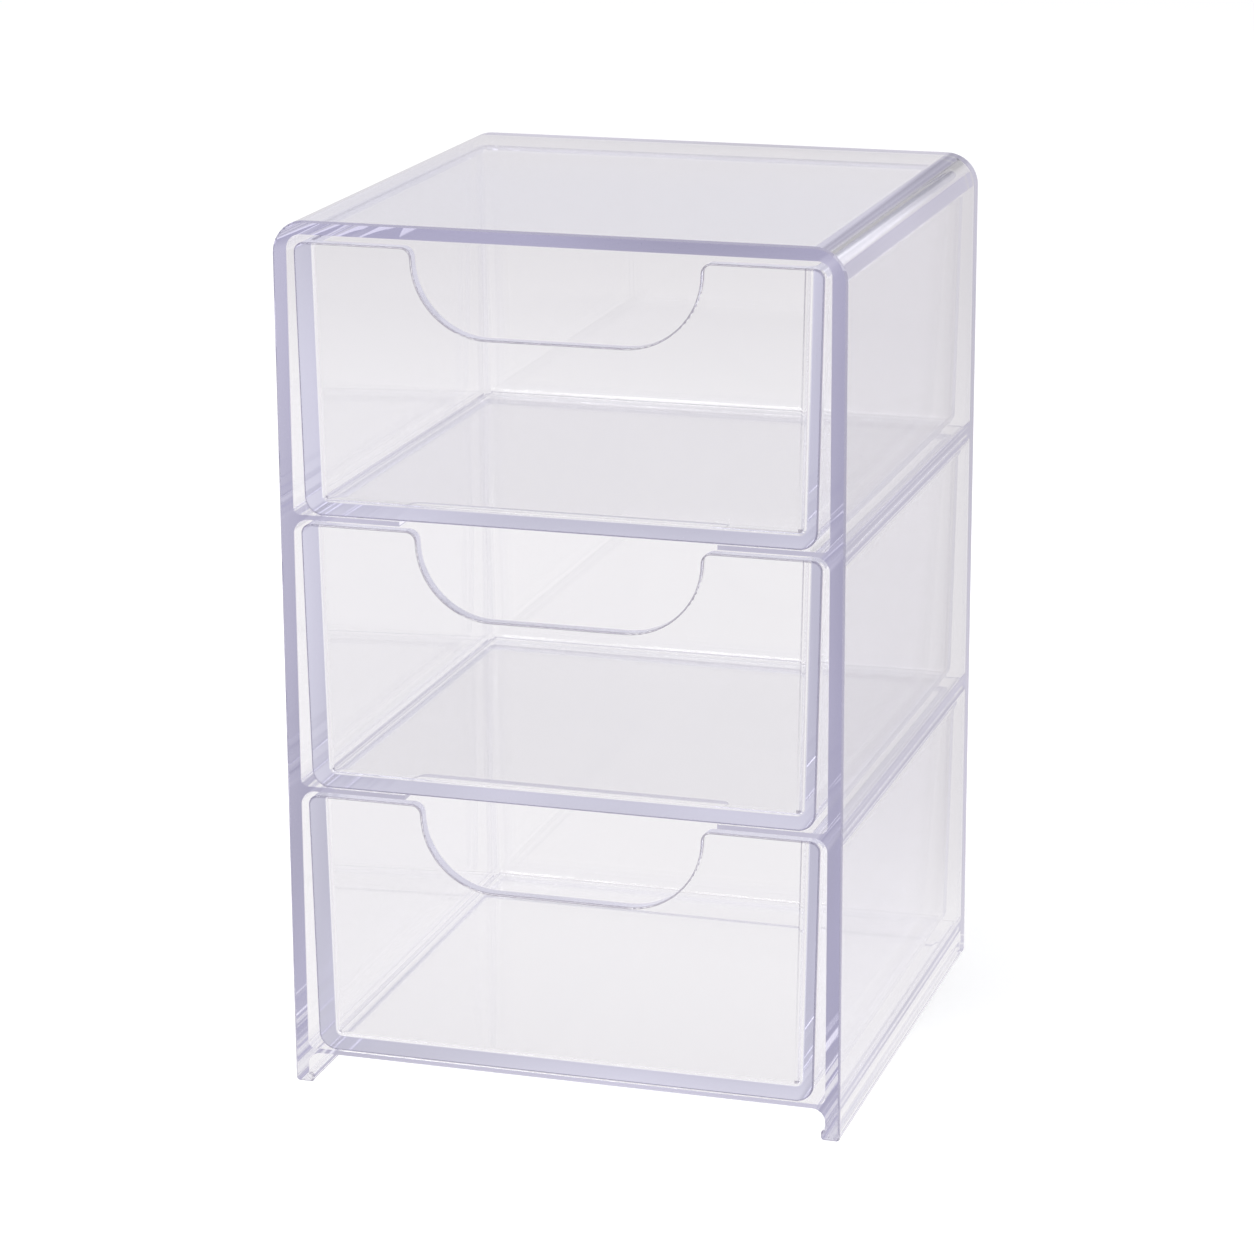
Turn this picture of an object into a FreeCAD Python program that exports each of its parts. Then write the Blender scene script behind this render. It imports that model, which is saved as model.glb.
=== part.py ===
# Three-tier organizer box: a clear moulded case with three open bays, one above the other,
# and a clear pull-out drawer in each bay.
# X runs across the front, Y from the front (negative) to the back, Z up.
# The origin is on the table under the middle of the case. All sizes are in millimetres.
import FreeCAD, Part
import Sketcher
import os

NEAR = 0.01

DRIVING_SIZES = [
    ("case_width", 85.5, "outside width of the case"),
    ("case_depth", 84.5, "outside depth of the case"),
    ("case_height", 133.0, "overall height, from table to top"),
    ("case_wall", 2.2, "thickness of the two side walls"),
    ("top_wall", 2.0, "thickness of the top"),
    ("back_wall", 2.0, "thickness of the back"),
    ("shelf", 0.7, "thickness of the three shelves"),
    ("foot_gap", 4.95, "clear height between the table and the lowest shelf"),
    ("top_bay_extra", 0.5, "how much higher the top bay is than the two below it"),
    ("case_corner", 5.0, "outside radius along the two top edges"),
    ("back_corner", 1.0, "outside radius round the back"),
    ("bay_top_corner", 2.2, "inside radius under each shelf and under the top"),
    ("bay_floor_corner", 1.1, "inside radius along each shelf"),
    ("front_bevel", 0.3, "bevel round the outside of the front edge"),
    ("foot_corner", 0.6, "outside radius under each foot"),
    ("foot_root", 2.0, "radius between a foot and the lowest shelf"),
    ("bead_out", 0.7, "how far the bead inside each foot stands out"),
    ("bead_high", 1.6, "height of the bead inside each foot"),
    ("bead_round", 0.55, "radius along the bead"),
    ("shelf_notch_width", 48.1, "width of the finger notch in the two upper shelves"),
    ("shelf_notch_depth", 8.2, "depth of the finger notch in the two upper shelves"),
    ("shelf_notch_corner", 1.5, "inside radius in the shelf notch"),
    ("headroom", 0.65, "clearance between a drawer's rim and the shelf above it"),
    ("drawer_wall", 2.0, "thickness of a drawer's four walls"),
    ("drawer_floor", 1.55, "thickness of a drawer's floor"),
    ("side_gap_top", 1.05, "clearance beside a drawer at its rim"),
    ("side_gap_base", 1.85, "clearance beside a drawer at its floor"),
    ("rear_gap", 1.2, "clearance behind a closed drawer"),
    ("glide_gap", 0.1, "clearance under a drawer"),
    ("drawer_rim_corner", 1.5, "radius along the outside of a side wall's rim"),
    ("drawer_base_corner", 2.8, "radius along the bottom outside corners"),
    ("drawer_rear_corner", 2.0, "radius of the two upright corners at the rear"),
    ("drawer_inner_corner", 1.2, "radius of the corners inside"),
    ("grip_width", 43.0, "width of the finger cut-out in a drawer front"),
    ("grip_depth", 12.8, "depth of the finger cut-out"),
    ("grip_corner", 11.3, "radius in the two lower corners of the cut-out"),
    ("grip_lip", 1.6, "radius where the cut-out meets the rim"),
    ("drawer_edge", 0.25, "radius that takes the sharpness off a drawer's edges"),
]

DERIVED_SIZES = [
    ("bay_width", "case_width - 2 * case_wall"),
    ("bay_depth", "case_depth - back_wall"),
    ("tier_pitch", "(case_height - top_wall - foot_gap - top_bay_extra) / 3"),
    ("first_level", "foot_gap + shelf"),
    ("second_level", "first_level + tier_pitch"),
    ("third_level", "second_level + tier_pitch"),
    ("first_top", "second_level - shelf"),
    ("top_bay_top", "case_height - top_wall"),
    ("front", "case_depth / 2"),
    ("rim_width", "bay_width - 2 * side_gap_top"),
    ("base_width", "bay_width - 2 * side_gap_base"),
    ("drawer_height", "tier_pitch - shelf - glide_gap - headroom"),
    ("drawer_length", "bay_depth - rear_gap"),
    ("inner_length", "drawer_length - 2 * drawer_wall"),
    ("side_slope", "(rim_width - base_width) / drawer_height"),
    ("inner_rim_width", "rim_width - 2 * drawer_wall"),
    ("inner_base_width", "base_width + side_slope * drawer_floor - 2 * drawer_wall"),
    ("inner_front", "front - drawer_wall"),
    ("table", "0"),
    ("below_table", "0 - 1"),
    ("bead_block_width", "bay_width + 2 * bead_round"),
    ("bead_gap_width", "bay_width - 2 * bead_out"),
    ("shelf_notch_start", "0 - front - 1"),
    ("shelf_notch_end", "shelf_notch_depth - front"),
    ("grip_low", "drawer_height - grip_depth"),
    ("above_rim", "drawer_height + 1"),
    ("grip_reach", "drawer_wall + drawer_inner_corner"),
]

TIERS = ["drawer_bottom", "drawer_middle", "drawer_top"]

doc = FreeCAD.newDocument("organizer_box")


# The sheet holds one named cell for each size.
sheet = doc.addObject("Spreadsheet::Sheet", "sizes")
for row, (alias, value, meaning) in enumerate(DRIVING_SIZES, start=1):
    sheet.set("A%d" % row, meaning)
    sheet.set("B%d" % row, str(value))
    sheet.setAlias("B%d" % row, alias)
for row, (alias, rule) in enumerate(DERIVED_SIZES, start=len(DRIVING_SIZES) + 2):
    sheet.set("A%d" % row, alias.replace("_", " "))
    sheet.set("B%d" % row, "=" + rule)
    sheet.setAlias("B%d" % row, alias)
doc.recompute()


def size(alias):
    """The present value of a named size."""
    return float(getattr(sheet, alias))


def cell(alias):
    """An expression that reads a named size from the sheet."""
    return "sizes." + alias


def origin_plane(body, role):
    """One of the body's own three origin planes."""
    for feature in body.Origin.OriginFeatures:
        if feature.Role == role:
            return feature
    raise RuntimeError("no plane " + role)


def new_sketch(body, name, role, offset):
    """A sketch on an origin plane of its body, moved along the plane's normal."""
    sketch = body.newObject("Sketcher::SketchObject", name)
    sketch.AttachmentSupport = [(origin_plane(body, role), "")]
    sketch.MapMode = "FlatFace"
    sketch.setExpression("AttachmentOffset.Base.z", cell(offset))
    return sketch


def bind(sketch, kind, first, first_end, second, second_end, label, alias):
    """A distance between two points of a sketch, named and read from the sheet."""
    sketch.addConstraint(Sketcher.Constraint(kind, first, first_end, second, second_end, 1.0))
    index = sketch.ConstraintCount - 1
    sketch.renameConstraint(index, label)
    sketch.setExpression("Constraints." + label, cell(alias))


def four_sided(sketch, low, high, base_width, top_width):
    """A symmetric four-sided outline between two heights, with its own width at each.
    Its corners are first drawn where they belong, then held there by constraints."""
    half_base, half_top = size(base_width) / 2, size(top_width) / 2
    corners = [FreeCAD.Vector(-half_base, size(low), 0),
               FreeCAD.Vector(half_base, size(low), 0),
               FreeCAD.Vector(half_top, size(high), 0),
               FreeCAD.Vector(-half_top, size(high), 0)]
    for number, corner in enumerate(corners):
        sketch.addGeometry(Part.LineSegment(corner, corners[(number + 1) % 4]))
    for number in range(4):
        after = (number + 1) % 4
        sketch.addConstraint(Sketcher.Constraint("Coincident", number, 2, after, 1))
    sketch.addConstraint(Sketcher.Constraint("Symmetric", 0, 1, 0, 2, -2))
    sketch.addConstraint(Sketcher.Constraint("Symmetric", 2, 1, 2, 2, -2))
    bind(sketch, "DistanceX", 0, 1, 0, 2, "base_width", base_width)
    bind(sketch, "DistanceX", 2, 2, 2, 1, "top_width", top_width)
    bind(sketch, "DistanceY", -1, 1, 0, 1, "low", low)
    bind(sketch, "DistanceY", -1, 1, 2, 1, "high", high)


def extrude(body, kind, name, sketch, length, backwards=False):
    """A pad or a pocket of a sketch."""
    feature = body.newObject("PartDesign::" + kind, name)
    feature.Profile = sketch
    feature.setExpression("Length", cell(length))
    feature.Reversed = backwards
    sketch.Visibility = False
    doc.recompute()
    return feature


def repeat_upwards(body, name, original, count):
    """The original again at each tier above."""
    pattern = body.newObject("PartDesign::LinearPattern", name)
    pattern.Originals = [original]
    pattern.Direction = (origin_plane(body, "XY_Plane"), [""])
    pattern.Occurrences = count
    pattern.setExpression("Length", "%d * %s" % (count - 1, cell("tier_pitch")))
    body.Tip = pattern
    doc.recompute()
    return pattern


def edges_where(feature, wanted):
    """Names of the edges that the test wants. It is given an edge's two end points."""
    names = []
    for number, edge in enumerate(feature.Shape.Edges, start=1):
        if len(edge.Vertexes) < 2:
            continue
        ends = [vertex.Point for vertex in edge.Vertexes]
        if wanted(ends[0], ends[1]):
            names.append("Edge%d" % number)
    if not names:
        raise RuntimeError("no edges found on " + feature.Name)
    return names


def near(a, b):
    return abs(a - b) < NEAR


def runs_along_y(a, b):
    return near(a.x, b.x) and near(a.z, b.z) and not near(a.y, b.y)


def round_edges(body, name, base, wanted, radius, kind="Fillet"):
    """A fillet or a chamfer on the edges that the test wants."""
    feature = body.newObject("PartDesign::" + kind, name)
    feature.Base = (base, edges_where(base, wanted))
    feature.setExpression("Radius" if kind == "Fillet" else "Size", cell(radius))
    doc.recompute()
    return feature


# The case: one moulding with its side walls, top, back, three shelves and two feet.
def make_case():
    body = doc.addObject("PartDesign::Body", "case")
    body.Label = "case"
    half_width, front = size("case_width") / 2, -size("front")
    back = size("front")
    bay_half, height = size("bay_width") / 2, size("case_height")
    foot_gap = size("foot_gap")

    outline = new_sketch(body, "case_outline", "XZ_Plane", "front")
    four_sided(outline, "table", "case_height", "case_width", "case_width")
    block = extrude(body, "Pad", "case_block", outline, "case_depth", backwards=True)

    block = round_edges(body, "top_corners", block,
                        lambda a, b: runs_along_y(a, b) and near(abs(a.x), half_width)
                        and near(a.z, height), "case_corner")
    block = round_edges(body, "foot_corners", block,
                        lambda a, b: runs_along_y(a, b) and near(abs(a.x), half_width)
                        and near(a.z, 0), "foot_corner")
    block = round_edges(body, "back_corners", block,
                        lambda a, b: near(a.y, back) and near(b.y, back)
                        and not (near(a.z, 0) and near(b.z, 0)), "back_corner")

    # A bay is open at the front and reaches to the back wall. The top bay is a little higher.
    opening = new_sketch(body, "bay_outline", "XZ_Plane", "front")
    four_sided(opening, "first_level", "first_top", "bay_width", "bay_width")
    bay = extrude(body, "Pocket", "bay", opening, "bay_depth")
    repeat_upwards(body, "lower_bays", bay, len(TIERS) - 1)
    top_opening = new_sketch(body, "top_bay_outline", "XZ_Plane", "front")
    four_sided(top_opening, "third_level", "top_bay_top", "bay_width", "bay_width")
    extrude(body, "Pocket", "top_bay", top_opening, "bay_depth")

    # Under the lowest shelf the case is open to the table and to the front.
    hollow = new_sketch(body, "foot_outline", "XZ_Plane", "front")
    four_sided(hollow, "below_table", "foot_gap", "bay_width", "bay_width")
    extrude(body, "Pocket", "under_shelf", hollow, "bay_depth")

    # The bead stiffens the inner edge of each foot.
    bead = new_sketch(body, "bead_outline", "XZ_Plane", "front")
    four_sided(bead, "table", "bead_high", "bead_block_width", "bead_block_width")
    extrude(body, "Pad", "bead", bead, "bay_depth", backwards=True)
    gap = new_sketch(body, "bead_gap_outline", "XZ_Plane", "front")
    four_sided(gap, "below_table", "bead_high", "bead_gap_width", "bead_gap_width")
    shape = extrude(body, "Pocket", "bead_gap", gap, "bay_depth")
    shape = round_edges(body, "bead_rounding", shape,
                        lambda a, b: runs_along_y(a, b)
                        and near(abs(a.x), bay_half - size("bead_out")), "bead_round")

    # Each upper shelf has a notch in front, so that a finger reaches the drawer below.
    notch = new_sketch(body, "shelf_notch_outline", "XY_Plane", "second_level")
    four_sided(notch, "shelf_notch_start", "shelf_notch_end",
               "shelf_notch_width", "shelf_notch_width")
    cut = extrude(body, "Pocket", "shelf_notch", notch, "shelf")
    shape = repeat_upwards(body, "shelf_notches", cut, len(TIERS) - 1)
    inner = size("shelf_notch_end")
    shape = round_edges(body, "shelf_notch_corners", shape,
                        lambda a, b: near(a.x, b.x) and near(a.y, inner) and near(b.y, inner)
                        and near(abs(a.x), size("shelf_notch_width") / 2), "shelf_notch_corner")

    levels = [size("first_level"), size("second_level"), size("third_level")]
    tops = [level - size("shelf") for level in levels[1:]] + [size("top_bay_top")]
    shape = round_edges(body, "bay_top_corners", shape,
                        lambda a, b: runs_along_y(a, b) and near(abs(a.x), bay_half)
                        and any(near(a.z, top) for top in tops), "bay_top_corner")
    shape = round_edges(body, "bay_floor_corners", shape,
                        lambda a, b: runs_along_y(a, b) and near(abs(a.x), bay_half)
                        and any(near(a.z, level) for level in levels), "bay_floor_corner")
    shape = round_edges(body, "foot_roots", shape,
                        lambda a, b: runs_along_y(a, b) and near(abs(a.x), bay_half)
                        and near(a.z, foot_gap), "foot_root")
    shape = round_edges(body, "front_edge_bevel", shape,
                        lambda a, b: near(a.y, front) and near(b.y, front)
                        and abs(a.x) > bay_half and abs(b.x) > bay_half
                        and min(a.z, b.z) > size("foot_corner") - NEAR
                        and not inside_front(a, b), "front_bevel", kind="Chamfer")
    return body


def inside_front(a, b):
    """Whether an edge of the case's front face belongs to the inner outline."""
    return min(abs(a.x), abs(b.x)) < size("bay_width") / 2 + NEAR


# A drawer: floor, two leaning sides, upright front and rear, and a finger cut-out in front.
def make_drawer(name, tier):
    body = doc.addObject("PartDesign::Body", name)
    body.Label = name
    front, rear = -size("front"), -size("front") + size("drawer_length")
    height, wall, floor = size("drawer_height"), size("drawer_wall"), size("drawer_floor")
    half_rim, half_base = size("rim_width") / 2, size("base_width") / 2

    outline = new_sketch(body, name + "_outline", "XZ_Plane", "front")
    four_sided(outline, "table", "drawer_height", "base_width", "rim_width")
    block = extrude(body, "Pad", name + "_block", outline, "drawer_length", backwards=True)
    block = round_edges(body, name + "_base_corners", block,
                        lambda a, b: runs_along_y(a, b) and near(a.z, 0)
                        and near(abs(a.x), half_base), "drawer_base_corner")
    block = round_edges(body, name + "_rim_corners", block,
                        lambda a, b: runs_along_y(a, b) and near(a.z, height)
                        and near(abs(a.x), half_rim), "drawer_rim_corner")
    block = round_edges(body, name + "_rear_corners", block,
                        lambda a, b: near(a.y, rear) and near(b.y, rear)
                        and not (near(a.z, height) and near(b.z, height)),
                        "drawer_rear_corner")

    hollow = new_sketch(body, name + "_hollow_outline", "XZ_Plane", "inner_front")
    four_sided(hollow, "drawer_floor", "drawer_height", "inner_base_width", "inner_rim_width")
    shape = extrude(body, "Pocket", name + "_hollow", hollow, "inner_length")
    inner_front, inner_rear = front + wall, rear - wall
    shape = round_edges(body, name + "_inner_corners", shape,
                        lambda a, b: inner_front - NEAR < min(a.y, b.y)
                        and max(a.y, b.y) < inner_rear + NEAR
                        and max(abs(a.x), abs(b.x)) < half_rim - wall + NEAR
                        and min(a.z, b.z) > floor - NEAR
                        and not (near(a.z, height) and near(b.z, height)),
                        "drawer_inner_corner")

    grip = new_sketch(body, name + "_grip_outline", "XZ_Plane", "front")
    four_sided(grip, "grip_low", "above_rim", "grip_width", "grip_width")
    shape = extrude(body, "Pocket", name + "_grip", grip, "grip_reach")
    half_grip = size("grip_width") / 2
    shape = round_edges(body, name + "_grip_corners", shape,
                        lambda a, b: runs_along_y(a, b) and near(abs(a.x), half_grip)
                        and near(a.z, height - size("grip_depth")), "grip_corner")
    shape = round_edges(body, name + "_grip_lips", shape,
                        lambda a, b: runs_along_y(a, b) and near(abs(a.x), half_grip)
                        and near(a.z, height), "grip_lip")

    # No edge of the front or of the rim is left sharp.
    round_edges(body, name + "_soft_edges", shape,
                lambda a, b: (near(a.y, front) and near(b.y, front))
                or (near(a.y, inner_front) and near(b.y, inner_front)
                    and min(a.z, b.z) > size("grip_low") - NEAR)
                or (near(a.z, height) and near(b.z, height)), "drawer_edge")

    level = "%s + %s + %d * %s" % (cell("first_level"), cell("glide_gap"), tier,
                                   cell("tier_pitch"))
    body.setExpression("Placement.Base.z", level)
    doc.recompute()
    return body


bodies = [make_case()] + [make_drawer(name, tier) for tier, name in enumerate(TIERS)]
doc.recompute()

for item in doc.Objects:
    if "Invalid" in item.State or "Error" in item.State:
        raise RuntimeError("%s: %s" % (item.Name, item.State))
for body in bodies:
    if body.Shape.isNull() or not body.Shape.isValid():
        raise RuntimeError(body.Label + " has no valid shape")
    print("%s: %d solid, %.2f cm3, box %s" % (body.Label, len(body.Shape.Solids),
                                              body.Shape.Volume / 1000, body.Shape.BoundBox))

os.makedirs("parts", exist_ok=True)
for body in bodies:
    body.Shape.exportStep("parts/%s.step" % body.Label)
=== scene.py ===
# A clear plastic organizer box with three pull-out drawers, as it stands in the photograph.
import math

import bmesh
import bpy
from mathutils import Matrix, Vector


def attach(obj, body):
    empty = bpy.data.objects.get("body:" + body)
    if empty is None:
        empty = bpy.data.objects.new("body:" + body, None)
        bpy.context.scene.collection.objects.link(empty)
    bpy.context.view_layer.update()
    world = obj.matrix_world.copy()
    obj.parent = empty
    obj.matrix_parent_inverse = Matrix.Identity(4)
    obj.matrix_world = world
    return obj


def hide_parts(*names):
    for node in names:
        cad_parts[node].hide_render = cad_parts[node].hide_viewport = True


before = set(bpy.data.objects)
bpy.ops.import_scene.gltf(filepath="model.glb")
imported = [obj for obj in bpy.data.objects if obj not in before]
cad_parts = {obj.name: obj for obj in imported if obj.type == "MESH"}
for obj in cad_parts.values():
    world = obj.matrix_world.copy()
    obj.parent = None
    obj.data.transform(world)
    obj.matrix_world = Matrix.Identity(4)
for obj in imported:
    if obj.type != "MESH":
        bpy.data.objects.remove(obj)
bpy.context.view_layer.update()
MM = 0.001


# The camera.
# It looks down a little on the front and the right side, from about 65 cm away,
# as the photograph was taken. The lens is a long one.
def camera_turn(azimuth, elevation, roll):
    """The turn of a camera that looks back along the given direction."""
    back = Vector((math.sin(azimuth) * math.cos(elevation),
                   -math.cos(azimuth) * math.cos(elevation),
                   math.sin(elevation)))
    right = Vector((math.cos(azimuth), math.sin(azimuth), 0.0))
    up = back.cross(right)
    x_axis = right * math.cos(roll) + up * math.sin(roll)
    y_axis = up * math.cos(roll) - right * math.sin(roll)
    return Matrix((x_axis, y_axis, back)).transposed()


lens = bpy.data.cameras.new("camera")
lens.lens = 117.36
lens.clip_start = 0.01
camera = bpy.data.objects.new("camera", lens)
bpy.context.collection.objects.link(camera)
camera.matrix_world = Matrix.Translation(Vector((177.8, -582.93, 237.26)) * MM) @ (
    camera_turn(math.radians(17.19), math.radians(15.886), math.radians(-0.302)).to_4x4())
bpy.context.scene.camera = camera


# The studio.
# The camera sees white paper, lit by a soft lamp over the left shoulder and a weaker one on the
# right. What the plastic mirrors or bends has tones of its own, set for the photograph's view.
class Maths:
    """A socket of a shader tree that can be used in plain arithmetic."""

    def __init__(self, socket):
        self.socket = socket

    def maths(self, operation, *values):
        tree = self.socket.id_data
        node = tree.nodes.new("ShaderNodeMath")
        node.operation = operation
        for place, value in zip(node.inputs, values):
            if isinstance(value, Maths):
                tree.links.new(value.socket, place)
            else:
                place.default_value = value
        return Maths(node.outputs[0])

    def __add__(self, other):
        return self.maths("ADD", self, other)

    def __radd__(self, other):
        return self.maths("ADD", other, self)

    def __sub__(self, other):
        return self.maths("SUBTRACT", self, other)

    def __rsub__(self, other):
        return self.maths("SUBTRACT", other, self)

    def __mul__(self, other):
        return self.maths("MULTIPLY", self, other)

    def __rmul__(self, other):
        return self.maths("MULTIPLY", other, self)

    def __truediv__(self, other):
        return self.maths("DIVIDE", self, other)

    def larger(self, other):
        return self.maths("MAXIMUM", self, other)

    def over(self, limit):
        return self.maths("GREATER_THAN", self, limit)


class Tree:
    """A shader tree, in which one call makes any node."""

    def __init__(self, owner):
        owner.use_nodes = True
        self.tree = owner.node_tree
        self.tree.nodes.clear()

    def node(self, kind, settings=None, **sockets):
        """A node of this kind. Its settings are set first, then its sockets by name."""
        made = self.tree.nodes.new(kind)
        for name, value in (settings or {}).items():
            if name == "stops":
                ramp = made.color_ramp.elements
                while len(ramp) < len(value):
                    ramp.new(0.5)
                for stop, (place, colour) in zip(ramp, value):
                    stop.position = place
                    stop.color = colour
            else:
                setattr(made, name, value)
        for name, value in sockets.items():
            socket = made.inputs[int(name[1:])] if name[1:].isdigit() else (
                made.inputs[name.replace("_", " ")])
            if isinstance(value, Maths):
                self.tree.links.new(value.socket, socket)
            elif isinstance(value, bpy.types.NodeSocket):
                self.tree.links.new(value, socket)
            else:
                socket.default_value = value
        return made


world = bpy.data.worlds.new("studio")
bpy.context.scene.world = world
sky = Tree(world)
path = sky.node("ShaderNodeLightPath").outputs
direction = sky.node("ShaderNodeTexCoord").outputs["Generated"]
ahead = Maths(sky.node("ShaderNodeSeparateXYZ", Vector=direction).outputs["Y"])
seen = Maths(path["Is Glossy Ray"]).larger(Maths(path["Is Transmission Ray"]))
room = sky.node("ShaderNodeValToRGB",
                {"stops": [(0.0, (0.56, 0.55, 0.58, 1)), (0.45, (0.66, 0.645, 0.67, 1)),
                           (0.7, (0.66, 0.645, 0.68, 1)), (1.0, (0.58, 0.57, 0.6, 1))]},
                Fac=ahead * 0.5 + 0.5).outputs["Color"]
white = sky.node("ShaderNodeBackground", Color=(1, 1, 1, 1), Strength=1.0).outputs[0]
mirrored = sky.node("ShaderNodeBackground", Color=room, Strength=1.0).outputs[0]
lighting = sky.node("ShaderNodeBackground", Color=(0.98, 0.985, 1, 1), Strength=0.62).outputs[0]
for_plastic = sky.node("ShaderNodeMixShader", _0=seen, _1=lighting, _2=mirrored).outputs[0]
result = sky.node("ShaderNodeMixShader", _0=path["Is Camera Ray"], _1=for_plastic, _2=white)
sky.node("ShaderNodeOutputWorld", Surface=result.outputs[0])


def sheet(name, corners):
    """A flat sheet of the studio, and the tree of its paper."""
    mesh = bpy.data.meshes.new(name)
    mesh.from_pydata(corners, [], [(0, 1, 2, 3)])
    holder = bpy.data.objects.new(name, mesh)
    bpy.context.collection.objects.link(holder)
    paper = bpy.data.materials.new(name + "_paper")
    mesh.materials.append(paper)
    return holder, Tree(paper)


def painted_sheet_tone(paper):
    """The painted tone the plastic shows of a sheet, a glow in place of lamplight: white, painted
    greyer higher up and just right of the box.
    """
    place = paper.node("ShaderNodeTexCoord").outputs["Object"]
    across, along, up = paper.node("ShaderNodeSeparateXYZ", Vector=place).outputs

    def rise(value, start, end):
        return Maths(paper.node("ShaderNodeMapRange", {"interpolation_type": "SMOOTHSTEP"},
                                Value=value, _1=start, _2=end).outputs[0])

    right = rise(across, 0.04, 0.056) * (1 - rise(across, 0.15, 0.22)) * rise(along, -0.045, 0.15)
    painted_lightness = (1 - right) * (1 - rise(up, 0.055, 0.1) * 0.6)
    tone = paper.node("ShaderNodeMix", {"data_type": "RGBA"}, Factor=painted_lightness,
                      _6=(0.66, 0.64, 0.665, 1), _7=(0.92, 0.905, 0.92, 1)).outputs[2]
    return paper.node("ShaderNodeEmission", Color=tone).outputs[0]


reach = 3
floor, paper = sheet("floor", [(-reach, -reach, 0), (reach, -reach, 0), (reach, reach, 0),
                               (-reach, reach, 0)])
look = paper.node("ShaderNodeLightPath").outputs
bent = Maths(look["Is Glossy Ray"]).larger(Maths(look["Is Transmission Ray"]))
matt = paper.node("ShaderNodeBsdfDiffuse", Color=(0.8, 0.8, 0.805, 1)).outputs[0]
glow = paper.node("ShaderNodeEmission", Color=(1, 1, 1, 1),
                  Strength=Maths(look["Is Camera Ray"]) * 0.4).outputs[0]
direct = paper.node("ShaderNodeAddShader", _0=matt, _1=glow).outputs[0]
# Seen in the plastic, the floor shows its painted tone, with painted shade just right of the box,
# in place of its lamplit look.
whole = paper.node("ShaderNodeMixShader", _0=bent, _1=direct, _2=painted_sheet_tone(paper)).outputs[0]
paper.node("ShaderNodeOutputMaterial", Surface=whole)

# A card stands behind the box, which only the plastic shows. In the photograph's view the
# rounded top edge mirrors the dark streaks in its upper part.
card_y, half_card, card_top = 0.15, 0.4, 0.3
card, paper = sheet("card", [(-half_card, card_y, 0), (half_card, card_y, 0),
                             (half_card, card_y, card_top), (-half_card, card_y, card_top)])
place = paper.node("ShaderNodeTexCoord").outputs["Object"]
across, _, up = paper.node("ShaderNodeSeparateXYZ", Vector=place).outputs
# Above 15 cm the card glows with a painted reflection: painted dark streaks and a painted
# highlight brighter than white, which the rounded top edge mirrors. Below that it shows the
# painted sheet tone.
strip_width = 0.12
painted_strip = paper.node("ShaderNodeValToRGB",
                   {"stops": [(part, (tone, tone * 0.99, tone * 1.06, 1)) for part, tone in (
                       (0.08, 0.74), (0.18, 0.05), (0.26, 0.3), (0.31, 0.04), (0.4, 0.28),
                       (0.46, 0.08), (0.58, 0.4), (0.65, 1.3), (0.75, 1.3), (0.85, 0.66))]},
                   Fac=Maths(across) / strip_width).outputs["Color"]
painted_streaks = paper.node("ShaderNodeEmission", Color=painted_strip).outputs[0]
high = paper.node("ShaderNodeMapRange", {"interpolation_type": "SMOOTHSTEP"}, Value=up,
                  _1=0.15, _2=0.162, _3=0.0, _4=1.0).outputs[0]
shown = paper.node("ShaderNodeMixShader", _0=high, _1=painted_sheet_tone(paper), _2=painted_streaks).outputs[0]
paper.node("ShaderNodeOutputMaterial", Surface=shown)
card.visible_camera = False
card.visible_diffuse = False
card.visible_shadow = False

for name, place, aim, width, power in (
        ("key", (-0.7, -0.8, 1.2), (0, 0, 0.06), 0.9, 14.0),
        ("fill", (0.9, -0.5, 0.8), (0, 0, 0.06), 0.8, 6.0)):
    lamp = bpy.data.lights.new(name, "AREA")
    lamp.size = width
    lamp.energy = power
    holder = bpy.data.objects.new(name, lamp)
    bpy.context.collection.objects.link(holder)
    away = Vector(place) - Vector(aim)
    turn = away.to_track_quat("Z", "Y").to_matrix().to_4x4()
    holder.matrix_world = Matrix.Translation(place) @ turn


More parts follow.
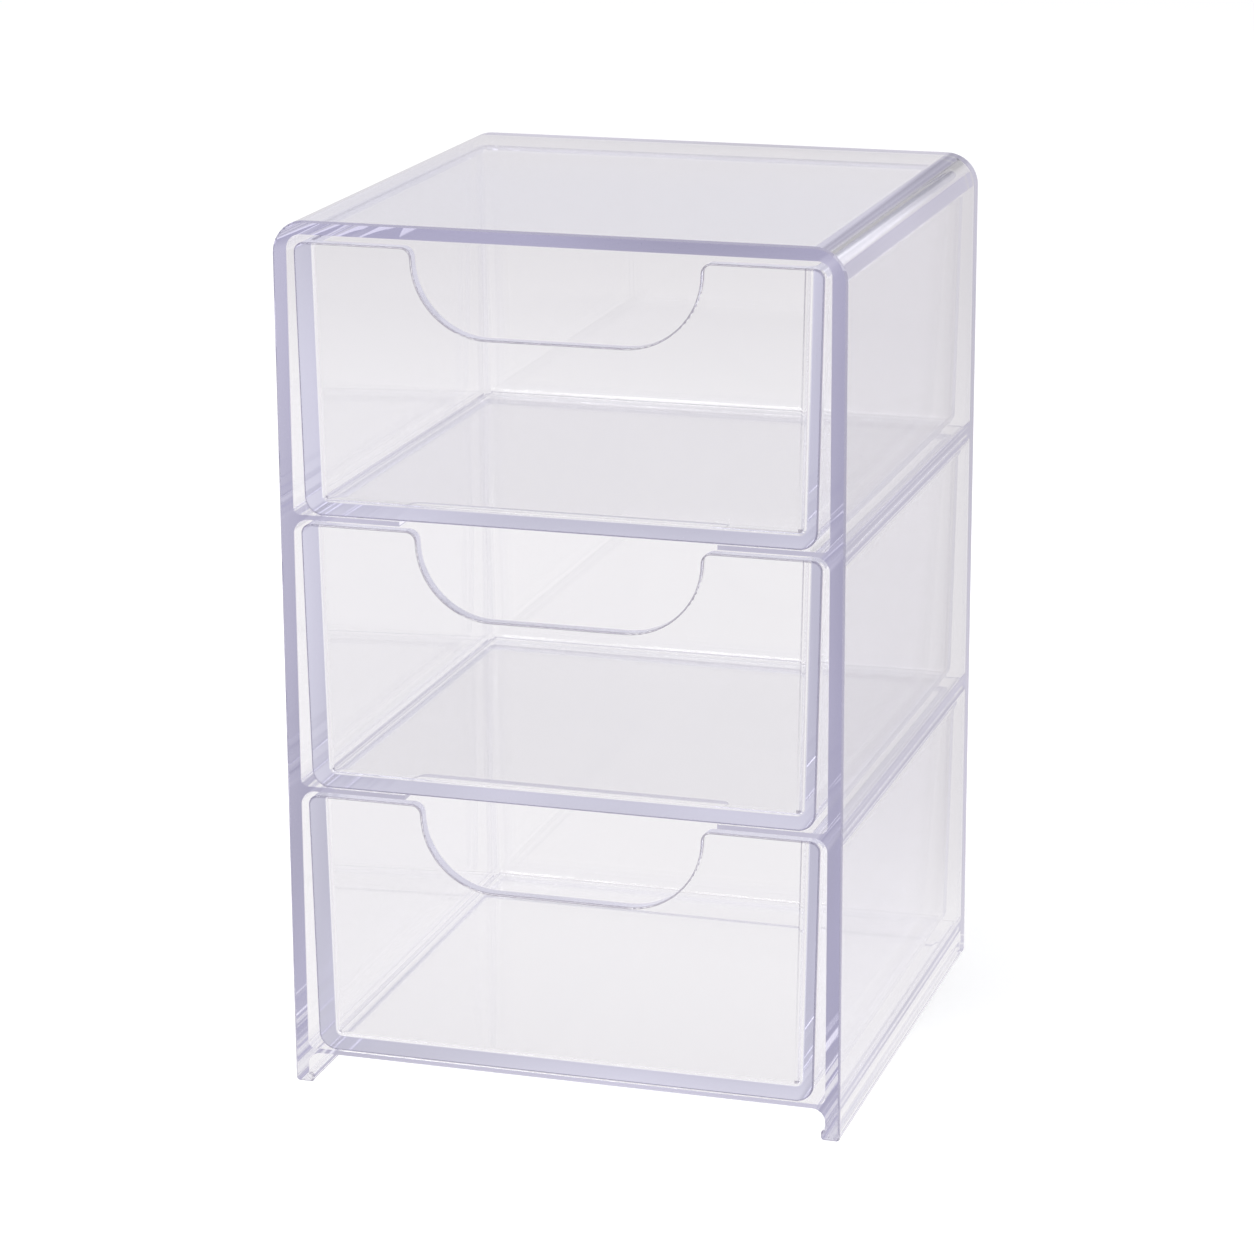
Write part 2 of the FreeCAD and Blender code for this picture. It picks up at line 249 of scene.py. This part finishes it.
# The case and the drawers.
# Clear polystyrene, injection moulded in polished moulds. It is almost colourless through a wall
# and a cool violet grey where the light runs along inside one, so the cut edges look darker.
def clear_plastic(name, depth_colour, density, painted_edge_glow, waves):
    """Clear moulded plastic, with the faint long waves of a cooled moulding, painted dark lines on
    its narrow edges and a painted glow where the renderer stops a path.
    """
    material = bpy.data.materials.new(name)
    material.cycles.emission_sampling = "NONE"
    shader = Tree(material)
    spot = shader.node("ShaderNodeTexCoord").outputs["Object"]
    flow = shader.node("ShaderNodeTexNoise", Vector=spot, Scale=waves, Detail=1.5)
    haze = shader.node("ShaderNodeTexNoise", Vector=spot, Scale=420.0, Detail=3.0)
    swell = shader.node("ShaderNodeBump", Strength=0.05, Distance=0.0004,
                        Height=flow.outputs["Fac"]).outputs["Normal"]
    roughness = Maths(haze.outputs["Fac"]) * 0.02 + 0.004
    # The narrow rounded edges bend light away, so each shows as a thin darker line, painted as
    # shade into the base colour.
    line = shader.node("ShaderNodeAttribute", {"attribute_name": "fine_edge"}).outputs["Fac"]
    clear = shader.node("ShaderNodeMix", {"data_type": "RGBA"}, Factor=line,
                        _6=(1, 1, 1, 1), _7=(0.33, 0.31, 0.38, 1)).outputs[2]
    # Painted light, set here and not simulated: light that the renderer gives up after its last
    # reflection leaves as a painted glow in the colour of the edges, and after its last crossing
    # as a painted pale grey glow. Shadows stay thin.
    last_mirrored, last_crossed = 4, 13
    ray = shader.node("ShaderNodeLightPath").outputs
    caught = Maths(ray["Glossy Depth"]).over(last_mirrored - 0.5)
    crossed = Maths(ray["Ray Depth"]).over(last_crossed - 0.5)
    uneven = shader.node("ShaderNodeMapRange", Value=flow.outputs["Fac"],
                         _1=0.3, _2=0.7, _3=0.86, _4=1.14).outputs[0]
    edge = shader.node("ShaderNodeVectorMath", {"operation": "SCALE"}, _0=painted_edge_glow,
                       Scale=uneven).outputs[0]
    paler = shader.node("ShaderNodeMix", {"data_type": "RGBA"}, Factor=crossed,
                        _6=(0, 0, 0, 1), _7=(0.66, 0.645, 0.66, 1)).outputs[2]
    painted_glow_colour = shader.node("ShaderNodeMix", {"data_type": "RGBA"}, Factor=caught,
                           _6=paler, _7=edge).outputs[2]
    thin = Maths(ray["Is Shadow Ray"]).larger(Maths(ray["Is Diffuse Ray"]))
    plastic = shader.node("ShaderNodeBsdfPrincipled", Roughness=roughness, IOR=1.55,
                          Transmission_Weight=1.0, Normal=swell, Alpha=1 - thin * 0.95,
                          Emission_Color=painted_glow_colour, Emission_Strength=1.0,
                          Base_Color=clear).outputs[0]
    tint = shader.node("ShaderNodeVolumeAbsorption", Color=depth_colour, Density=density)
    shader.node("ShaderNodeOutputMaterial", Surface=plastic, Volume=tint.outputs[0])
    return material


def smooth_copy(node, name, material):
    """A closed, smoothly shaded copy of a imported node, whose flat faces stay flat."""
    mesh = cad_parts[node].data.copy()
    mesh.name = name
    shape = bmesh.new()
    shape.from_mesh(mesh)
    bmesh.ops.remove_doubles(shape, verts=shape.verts, dist=0.000002)
    bmesh.ops.dissolve_limit(shape, angle_limit=math.radians(0.05), verts=shape.verts,
                             edges=shape.edges)
    # Narrow rounded faces at the front and the rim are marked for a painted dark line, and a bevel
    # at the front by half.
    front = min(vertex.co.y for vertex in shape.verts)
    rim = max(vertex.co.z for vertex in shape.verts)
    fine = []
    for face in shape.faces:
        width = face.calc_area() / max(edge.calc_length() for edge in face.edges)
        middle = face.calc_center_median()
        bevel = width < 0.45 * MM and middle.y < front + 0.2 * MM
        soft = width < 0.07 * MM and (middle.y < front + 2.5 * MM or middle.z > rim - 0.5 * MM)
        fine.append(max(0.5 * bevel, 1.0 * soft))
    shape.to_mesh(mesh)
    shape.free()
    mesh.attributes.new("fine_edge", "FLOAT", "FACE").data.foreach_set("value", fine)
    mesh.materials.clear()
    mesh.materials.append(material)
    piece = bpy.data.objects.new(name, mesh)
    bpy.context.collection.objects.link(piece)
    mesh.shade_smooth()
    mesh.set_sharp_from_angle(angle=math.radians(32))
    steady = piece.modifiers.new("flat faces stay flat", "WEIGHTED_NORMAL")
    steady.keep_sharp = True
    steady.weight = 100
    return piece


case_plastic = clear_plastic("case_plastic", depth_colour=(0.15, 0.12, 0.48, 1), density=6.0,
                             painted_edge_glow=(0.295, 0.286, 0.342), waves=16.0)
drawer_plastic = clear_plastic("drawer_plastic", depth_colour=(0.16, 0.14, 0.42, 1), density=5.0,
                               painted_edge_glow=(0.355, 0.35, 0.4), waves=20.0)
case = smooth_copy("case", "case_moulding", case_plastic)
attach(case, "case")
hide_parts("case")
for tier in ("top", "middle", "bottom"):
    drawer = smooth_copy("drawer_" + tier, "drawer_moulding_" + tier, drawer_plastic)
    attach(drawer, "drawer_" + tier)
    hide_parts("drawer_" + tier)

bpy.context.scene.view_settings.view_transform = "Standard"
